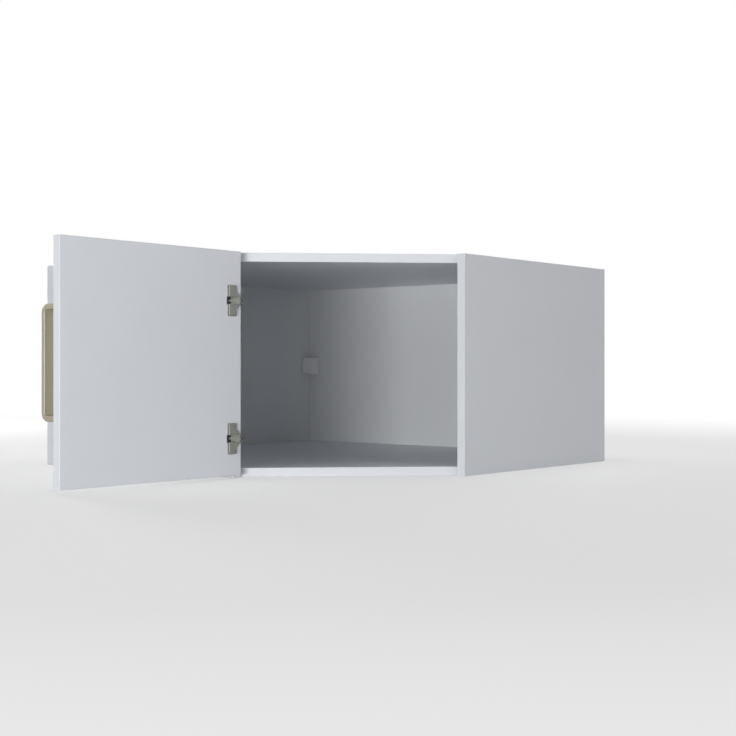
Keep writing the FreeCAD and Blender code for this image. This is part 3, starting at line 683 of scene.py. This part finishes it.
class FinishDoor(bpy.types.Operator):
    """Faces the door and bands its four edges."""

    bl_idname = "cabinet.finish_door"
    bl_label = "Door"

    def execute(self, context):
        edges = box_planes("door_panel", [(0, -1, 0), (0, 1, 0), (0, 0, -1), (0, 0, 1)])
        dress(["door_panel"], melamine_faced_chipboard(
            "melamine_door", context.scene.cabinet_boards, bands=edges, raw_sides=[]
        ))
        return {"FINISHED"}


class MakeHandle(bpy.types.Operator):
    """Builds the strap handle in the space of its solid."""

    bl_idname = "cabinet.make_handle"
    bl_label = "Handle"

    def execute(self, context):
        sizes = context.scene.cabinet_handle
        piece = strap_handle("strap_handle", *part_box("handle"), sizes)
        metal = anodised_aluminium("anodised_champagne", sizes.metal, sizes.roughness)
        piece.data.materials.append(metal)
        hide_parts("handle")
        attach(piece, "door")
        return {"FINISHED"}


class MakeScrewCaps(bpy.types.Operator):
    """Builds the two caps over the handle's screws."""

    bl_idname = "cabinet.make_screw_caps"
    bl_label = "Screw caps"

    def execute(self, context):
        boards = context.scene.cabinet_boards
        crown = context.scene.cabinet_fittings.cap_crown
        low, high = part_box("handle_screw_caps")
        radius = (high.y - low.y) / 2
        plastic = moulded_plastic(
            "board_coloured_cap_plastic", boards.face, boards.roughness, grit=boards.pearl
        )
        for place, z in (("lower", low.z + radius), ("upper", high.z - radius)):
            centre = (high.x, (low.y + high.y) / 2, z)
            cap = domed_cap(place + "_screw_cap", centre, radius, high.x - low.x, crown)
            cap.data.materials.append(plastic)
            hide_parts("handle_screw_caps")
            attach(cap, "door")
        return {"FINISHED"}


class FinishHinges(bpy.types.Operator):
    """Plates the hinges' cups, links, arms and mounting plates, and their pins and screws."""

    bl_idname = "cabinet.finish_hinges"
    bl_label = "Hinges"

    def execute(self, context):
        fittings = context.scene.cabinet_fittings
        cast = plated_steel(
            "nickel_plated_cup", fittings.nickel, roughness=0.56, mottling=9 * MM, stroke=1.5 * MM
        )
        pressed = plated_steel(
            "nickel_plated_steel", fittings.nickel, roughness=0.34, mottling=14 * MM,
            stroke=1.0 * MM
        )
        links = plated_steel(
            "nickel_plated_links", fittings.link, roughness=0.6, mottling=6 * MM, stroke=0.8 * MM
        )
        bright = plated_steel(
            "nickel_plated_screws", fittings.zinc, roughness=0.28, mottling=6 * MM,
            stroke=0.8 * MM
        )
        parts_of = (
            (cast, ("cup", "cup_screws")),
            (links, ("outer_link", "inner_link")),
            (pressed, ("arm", "mounting_plate")),
            (bright, ("adjusting_screws", "plate_screws", "cup_pin", "arm_pins")),
        )
        for hinge in ("top_hinge_", "bottom_hinge_"):
            for material, parts in parts_of:
                dress([hinge + part for part in parts], material)
        return {"FINISHED"}


class FinishCornerBlock(bpy.types.Operator):
    """Gives the corner block and its screws their finishes."""

    bl_idname = "cabinet.finish_corner_block"
    bl_label = "Corner block"

    def execute(self, context):
        fittings = context.scene.cabinet_fittings
        plastic = moulded_plastic(
            "moulded_block_plastic", fittings.block, roughness=0.5, grit=0.9 * MM
        )
        zinc = plated_steel(
            "zinc_block_screws", fittings.zinc, roughness=0.32, mottling=6 * MM, stroke=0.8 * MM
        )
        dress(["corner_block"], plastic)
        dress(["corner_block_screws"], zinc)
        return {"FINISHED"}


class FinishJoints(bpy.types.Operator):
    """Finishes the dowels, connecting bolts, cam housings and handle screws."""

    bl_idname = "cabinet.finish_joints"
    bl_label = "Dowels, bolts and cams"

    def execute(self, context):
        fittings = context.scene.cabinet_fittings
        zinc = plated_steel(
            "zinc_plated_bolts", fittings.zinc, roughness=0.32, mottling=8 * MM, stroke=0.9 * MM
        )
        cast = plated_steel(
            "die_cast_zinc", fittings.cast, roughness=0.5, mottling=5 * MM, stroke=1.2 * MM
        )
        dress(["wooden_dowels"], turned_beech("turned_beech", fittings.beech))
        dress(["cam_bolts", "handle_screws"], zinc)
        dress(["cam_housings"], cast)
        return {"FINISHED"}


class FinishHangers(bpy.types.Operator):
    """Finishes the two hanging brackets, their hooks and screws, and the wall plates."""

    bl_idname = "cabinet.finish_hangers"
    bl_label = "Hanging brackets"

    def execute(self, context):
        fittings = context.scene.cabinet_fittings
        plastic = moulded_plastic(
            "moulded_white_plastic", fittings.white, roughness=0.45, grit=0.8 * MM
        )
        zinc = plated_steel(
            "zinc_plated_plate", fittings.zinc, roughness=0.36, mottling=16 * MM, stroke=1.4 * MM
        )
        metal = ("bracket_hook", "wall_plate", "bracket_adjusting_screws", "bracket_fixing_screws")
        for side in ("left_", "right_"):
            dress([side + "hanging_bracket"], plastic)
            dress([side + part for part in metal], zinc)
        return {"FINISHED"}


# ---- the stage ----------------------------------------------------------------------------------

SENSOR_WIDTH = 36.0
FLOOR_GAP = 0.5 * MM

# Where each lamp stands, what it faces, and its width and height. The key lamp's lower edge is just
# above the floor, because the light falls on the cabinet from low in front.
LAMPS = {
    "key": ((1.99, -3.71, 0.16), (0.5, -0.6, 0.16), (1.15, 0.29)),
    "fill": ((3.8, -0.9, 1.4), (0.7, -0.4, 0.2), (1.6, 1.6)),
    "overhead": ((0.7, -0.9, 3.6), (0.7, -0.9, 0.2), (2.4, 2.4)),
    "left": ((-2.6, -0.2, 1.0), (0.4, -0.8, 0.2), (1.2, 1.2)),
    "rear": ((0.2, 3.0, 1.4), (0.4, -0.2, 0.2), (1.6, 1.6)),
}


def painted_floor(name, stage, centre):
    """A matt painted floor. Away from the cabinet it turns white for the camera, in reflections and
    through glass. Beside the cabinet part of the white is already there, and the shadow shows
    through the rest."""
    material, tree = new_material(name)
    paint = add(
        tree, "BsdfPrincipled", Base_Color=stage.floor, Roughness=0.9, Specular_IOR_Level=0.2
    )
    from_centre = add(
        tree, "VectorMath", {"operation": "DISTANCE"}, _0=add(tree, "TexCoord").outputs["Object"],
        _1=(*centre, cad_box[0].z)
    )
    far = add(
        tree, "MapRange", Value=from_centre, From_Min=stage.fade_start, From_Max=stage.fade_end,
        To_Min=stage.whiteness, To_Max=1.0
    )
    amount = add(tree, "Math", {"operation": "MULTIPLY"}, _0=far, _1=seen_rays(tree))
    white = add(tree, "Emission", Color=WHITE, Strength=1.0)
    add(tree, "OutputMaterial", Surface=add(tree, "MixShader", _0=amount, _1=paint, _2=white))
    return material


def seen_rays(tree):
    """1 for rays from the camera, for reflections and for light through glass."""
    rays = add(tree, "LightPath").outputs
    some = add(
        tree, "Math", {"operation": "MAXIMUM"}, _0=rays["Is Camera Ray"], _1=rays["Is Glossy Ray"]
    )
    return add(
        tree, "Math", {"operation": "MAXIMUM"}, _0=some, _1=rays["Is Transmission Ray"]
    )


def even_sky(stage):
    """A sky that lights the cabinet faintly from all round, and looks white where it is seen."""
    world = bpy.data.worlds.new("studio")
    world.use_nodes = True
    tree = world.node_tree
    tree.nodes.clear()
    strength = add(
        tree, "MapRange", Value=seen_rays(tree), From_Min=0.0, From_Max=1.0, To_Min=stage.sky,
        To_Max=1.0
    )
    sky = add(tree, "Background", Color=WHITE, Strength=strength)
    add(tree, "OutputWorld", Surface=sky)
    bpy.context.scene.world = world


def area_lamp(name, watts, place, target, size):
    """A flat lamp of size (width, height) that faces the target, with its width level."""
    lamp = bpy.data.lights.new(name, "AREA")
    lamp.shape = "RECTANGLE"
    lamp.size, lamp.size_y = size
    lamp.energy = watts
    holder = bpy.data.objects.new(name, lamp)
    x, y, z = np.array(place) - np.array(target)
    holder.location = place
    holder.rotation_euler = (math.atan2(math.hypot(x, y), z), 0.0, math.atan2(x, -y))
    bpy.context.scene.collection.objects.link(holder)


def level_camera(stage):
    """A camera that looks level along the azimuth, with its view shifted sideways."""
    lens = bpy.data.cameras.new("camera")
    lens.sensor_width = SENSOR_WIDTH
    lens.lens = stage.lens / MM
    lens.shift_x = stage.shift
    camera = bpy.data.objects.new("camera", lens)
    camera.location = stage.place
    camera.rotation_euler = (math.pi / 2, 0.0, stage.azimuth)
    bpy.context.scene.collection.objects.link(camera)
    bpy.context.scene.camera = camera


class MakeStage(bpy.types.Operator):
    """Builds the pale floor, the even sky and the lamps, and sets the camera."""

    bl_idname = "cabinet.make_stage"
    bl_label = "Studio and camera"

    def execute(self, context):
        stage = context.scene.cabinet_stage
        low, high = cad_box
        centre = ((low.x + high.x) / 2, (low.y + high.y) / 2)
        floor = floor_disc("floor", centre, low.z - FLOOR_GAP)
        floor.data.materials.append(painted_floor("matt_floor_paint", stage, centre))
        even_sky(stage)
        for name, (place, target, size) in LAMPS.items():
            area_lamp(name + "_lamp", getattr(stage, name), place, target, size)
        level_camera(stage)
        context.scene.view_settings.view_transform = "Standard"
        return {"FINISHED"}


# ---- the add-on ---------------------------------------------------------------------------------

ORDER = (
    FinishSidePanels, FinishTopAndBottom, FinishBackBoards, FinishJoints, FinishCornerBlock,
    FinishHangers, FinishHinges, FinishDoor, MakeHandle, MakeScrewCaps, MakeStage,
)

GROUPS = {
    "cabinet_boards": BoardSettings,
    "cabinet_handle": HandleSettings,
    "cabinet_fittings": FittingSettings,
    "cabinet_stage": StageSettings,
}


class CabinetPanel(bpy.types.Panel):
    """Lists the cabinet's sizes and pieces in the sidebar."""

    bl_idname = "VIEW3D_PT_cabinet"
    bl_label = "Corner wall cabinet"
    bl_space_type = "VIEW_3D"
    bl_region_type = "UI"
    bl_category = "Cabinet"

    def draw(self, context):
        for settings, group in GROUPS.items():
            box = self.layout.box()
            for name in group.bl_rna.properties.keys():
                if name not in ("rna_type", "name"):
                    box.prop(getattr(context.scene, settings), name)
        for operator in ORDER:
            self.layout.operator(operator.bl_idname)


def register():
    for made in (*GROUPS.values(), *ORDER, CabinetPanel):
        bpy.utils.register_class(made)
    for name, group in GROUPS.items():
        setattr(bpy.types.Scene, name, bpy.props.PointerProperty(type=group))


def unregister():
    for name in GROUPS:
        delattr(bpy.types.Scene, name)
    for made in (CabinetPanel, *reversed(ORDER), *reversed(tuple(GROUPS.values()))):
        bpy.utils.unregister_class(made)


def main():
    register()
    for operator in ORDER:
        group, name = operator.bl_idname.split(".")
        getattr(getattr(bpy.ops, group), name)()


if __name__ == "__main__":
    main()
